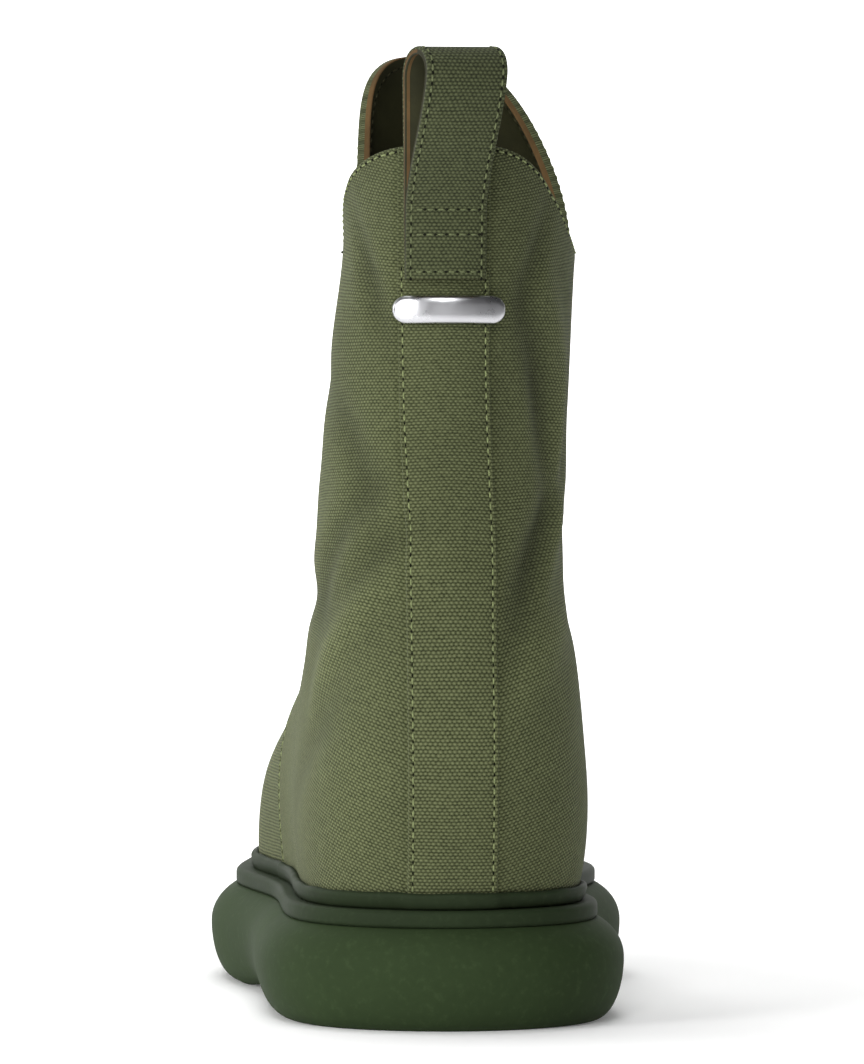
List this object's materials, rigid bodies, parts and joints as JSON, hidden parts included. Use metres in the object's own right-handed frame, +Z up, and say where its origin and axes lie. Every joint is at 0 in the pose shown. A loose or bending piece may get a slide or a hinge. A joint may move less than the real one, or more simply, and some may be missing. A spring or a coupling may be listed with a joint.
{
  "type": "platform mid-calf boot",
  "caption": "Canvas pull-on boot with a high front, notched collar, rear pull loop and a thick rounded rubber platform sole.",
  "frame": {"origin": "on the floor, under the middle of the boot's bounding box", "axes": "+Y towards the toe, +X to the medial side, +Z up"},
  "size_m": [0.1266, 0.3022, 0.2803],
  "materials": {
    "outsole_rubber": "satin dark green moulded rubber",
    "midsole_rubber": "satin dark green moulded rubber",
    "rand_rubber": "satin dark olive rubber",
    "footbed": "matt olive footbed",
    "canvas": "olive plain-weave canvas",
    "polished_steel": "polished"
  },
  "bodies": {
    "root": {"outsole": "outsole_rubber", "midsole": "midsole_rubber", "rand": "rand_rubber", "insole": "footbed", "upper": "canvas", "pull_loop": "canvas", "back_bar": "polished_steel"}
  },
  "joints": []
}
